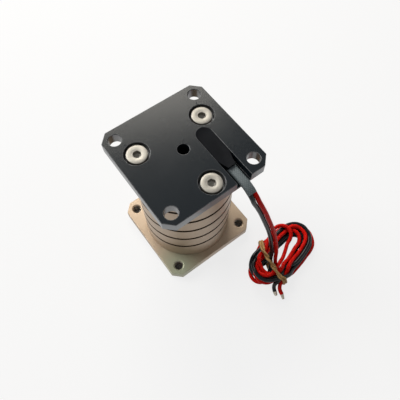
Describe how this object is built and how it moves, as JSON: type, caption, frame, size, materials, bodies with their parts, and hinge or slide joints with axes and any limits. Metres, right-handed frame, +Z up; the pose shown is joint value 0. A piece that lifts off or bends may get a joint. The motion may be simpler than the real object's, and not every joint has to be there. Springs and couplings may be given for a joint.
{
  "type": "voice coil motor",
  "caption": "Voice coil motor: a square drive plate on a helically slit tube spring above a square base flange, with coil and magnet inside and banded flying leads.",
  "frame": {"origin": "centre of the base flange's underside, where the motor stands", "axes": "+Z up along the axis of motion, from the flange to the coil plate; +X towards the edge where the leads come out"},
  "size_m": [0.0716, 0.0574, 0.0565],
  "materials": {
    "chromated_aluminium": "machined aluminium with a pale yellow chromate coat, satin",
    "black_anodised": "black anodised, fine blasted, satin",
    "screw_steel": "turned stainless steel",
    "soft_iron": "nickel-plated, satin",
    "magnet_plating": "bright nickel plating",
    "former_resin": "dark glass-filled plastic",
    "copper_wire": "enamelled copper wire",
    "amber_tape": "amber film tape",
    "black_potting": "black potting resin",
    "grey_sleeve": "grey shrunk sleeve",
    "red_insulation": "red wire insulation",
    "black_insulation": "black wire insulation",
    "band_rubber": "tan rubber, matte",
    "tinned_copper": "tinned strands, dull"
  },
  "bodies": {
    "base": {"base_flange": "chromated_aluminium", "base_screws": "screw_steel", "yoke_cup": "soft_iron", "yoke_screws": "screw_steel", "magnet": "magnet_plating", "pole_piece": "soft_iron", "machined_spring": "chromated_aluminium", "red_lead": "red_insulation", "black_lead": "black_insulation", "wire_bundle": "red_insulation", "rubber_band": "band_rubber", "red_tip": "tinned_copper", "black_tip": "tinned_copper"},
    "coil_head": {"coil_plate": "black_anodised", "plate_screws": "screw_steel", "coil_former": "former_resin", "coil_winding": "copper_wire", "winding_wrap": "amber_tape", "coil_tails": "copper_wire", "slot_potting": "black_potting", "lead_sleeve": "grey_sleeve"}
  },
  "joints": [
    {"name": "coil_travel", "type": "slide", "parent": "base", "child": "coil_head", "axis": [0, 0, 1], "range_m": [-0.001, 0.001], "stiffness_N_per_m": 9800, "deforming": ["machined_spring", "red_lead", "black_lead"]}
  ]
}
